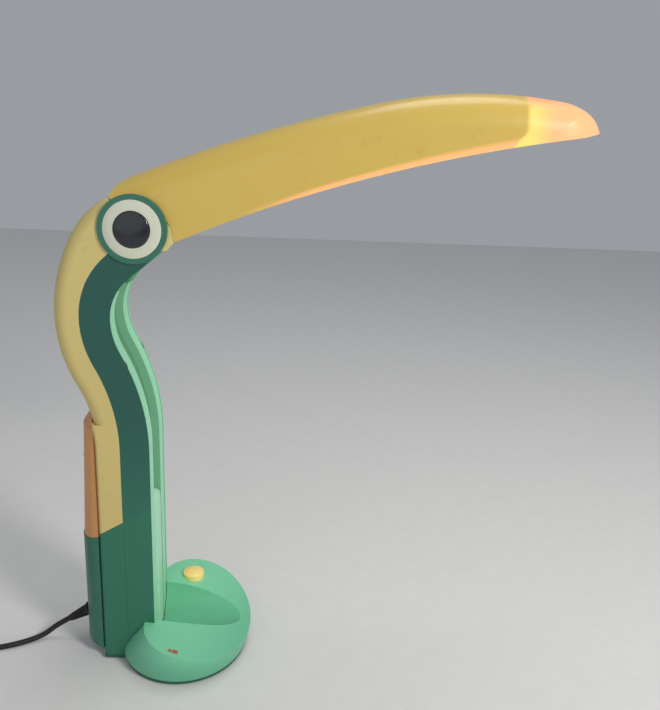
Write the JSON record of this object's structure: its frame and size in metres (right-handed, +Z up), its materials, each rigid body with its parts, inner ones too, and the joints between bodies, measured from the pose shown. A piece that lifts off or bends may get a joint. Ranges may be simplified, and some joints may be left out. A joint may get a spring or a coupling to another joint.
{
  "type": "folding desk lamp",
  "caption": "Folding bird-shaped desk lamp: a curved beak shade with a fluorescent lamp hinges at the eye of an S-shaped neck on a round scooped base.",
  "frame": {"origin": "middle of the round base, on the surface that the lamp stands on", "axes": "+X the way the beak points, +Z up, Y=0 the plane of symmetry"},
  "size_m": [0.6353, 0.1881, 0.5075],
  "materials": {
    "green_plastic": "satin moulded plastic",
    "light_green_plastic": "satin moulded plastic",
    "base_green": "satin lacquered plastic",
    "orange_plastic": "satin moulded plastic",
    "yellow_plastic": "translucent satin plastic",
    "cream_plastic": "glossy moulded plastic",
    "black_gloss": "glossy moulded plastic",
    "button_yellow": "glossy moulded plastic",
    "black_plastic": "plain",
    "white_plastic": "plain",
    "steel": "zinc plated",
    "cast_iron": "rough cast",
    "laminated_steel": "varnished laminations",
    "copper_winding": "varnished winding",
    "brass": "plain",
    "reflector_aluminium": "bright",
    "lamp_glass": "white phosphor coated glass, lit",
    "nylon": "plain",
    "pad_rubber": "soft foam rubber",
    "cord_rubber": "flexible mains lead"
  },
  "bodies": {
    "lamp_body": {"neck_shell_near": "green_plastic", "neck_shell_far": "green_plastic", "neck_screws": "steel", "channel_liner": "light_green_plastic", "groove_cover": "light_green_plastic", "rear_cover_lower": "green_plastic", "rear_cover_upper": "orange_plastic", "rear_cover_screws": "steel", "choke_core": "laminated_steel", "choke_coil": "copper_winding", "choke_bracket": "steel", "terminal_block": "white_plastic", "terminal_screws": "brass", "neck_wires": "cord_rubber", "wire_clip": "nylon", "eye_white_near": "cream_plastic", "eye_white_far": "cream_plastic", "eye_pupil_near": "black_gloss", "eye_pupil_far": "black_gloss", "pivot_bolt": "steel", "pivot_nut": "steel", "friction_washers": "nylon", "base_shell": "base_green", "base_plate": "black_plastic", "base_screws": "steel", "base_weight": "steel", "lobe_weight": "cast_iron", "foot_pad": "pad_rubber", "switch_body": "black_plastic", "button_spring": "steel", "cord_boot": "cord_rubber", "cord": "cord_rubber", "cord_coil": "cord_rubber", "cord_tail": "cord_rubber", "plug_body": "cord_rubber", "plug_pins": "brass"},
    "beak": {"beak_shade": "yellow_plastic", "hinge_bracket": "cream_plastic", "reflector": "reflector_aluminium", "reflector_screws": "steel", "lamp_holder": "white_plastic", "tube_cap": "white_plastic", "fluorescent_tube": "lamp_glass", "tube_clip": "nylon"},
    "button": {"power_button": "button_yellow"}
  },
  "joints": [
    {"name": "beak_fold", "type": "hinge", "parent": "lamp_body", "child": "beak", "pos_m": [-0.03, 0, 0.395], "axis": [0, 1, 0], "range_deg": [0, 101]},
    {"name": "button_press", "type": "slide", "parent": "lamp_body", "child": "button", "axis": [0, 0, -1], "range_m": [0, 0.0025], "stiffness_N_per_m": 500, "springref_m": -0.002, "deforming": ["button_spring"]}
  ]
}
